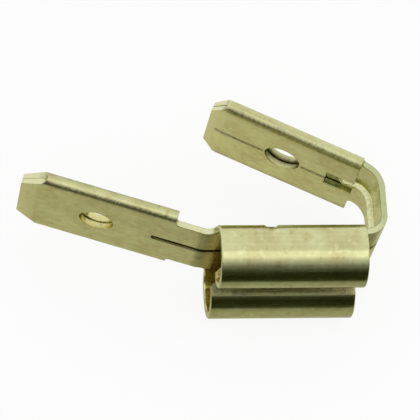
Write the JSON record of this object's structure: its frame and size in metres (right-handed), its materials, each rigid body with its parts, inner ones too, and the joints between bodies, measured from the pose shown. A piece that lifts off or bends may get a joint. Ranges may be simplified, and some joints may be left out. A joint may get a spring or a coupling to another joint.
{
  "type": "spade terminal splitter",
  "caption": "Folded brass strip with a rolled receptacle in the middle and a doubled spade tab at each end, one bent back over it, which splits one spade terminal into several.",
  "frame": {"origin": "middle of the receptacle floor, on the side where a mating tab lies", "axes": "+X along the receptacle to the mouth where a mating tab enters, +Y from the rolls to the flat back, +Z across the strip, upwards as the part lies on its side"},
  "size_m": [0.021, 0.0116, 0.0082],
  "materials": {
    "brass": "bright rolled strip"
  },
  "bodies": {
    "root": {"splitter": "brass"}
  },
  "joints": []
}
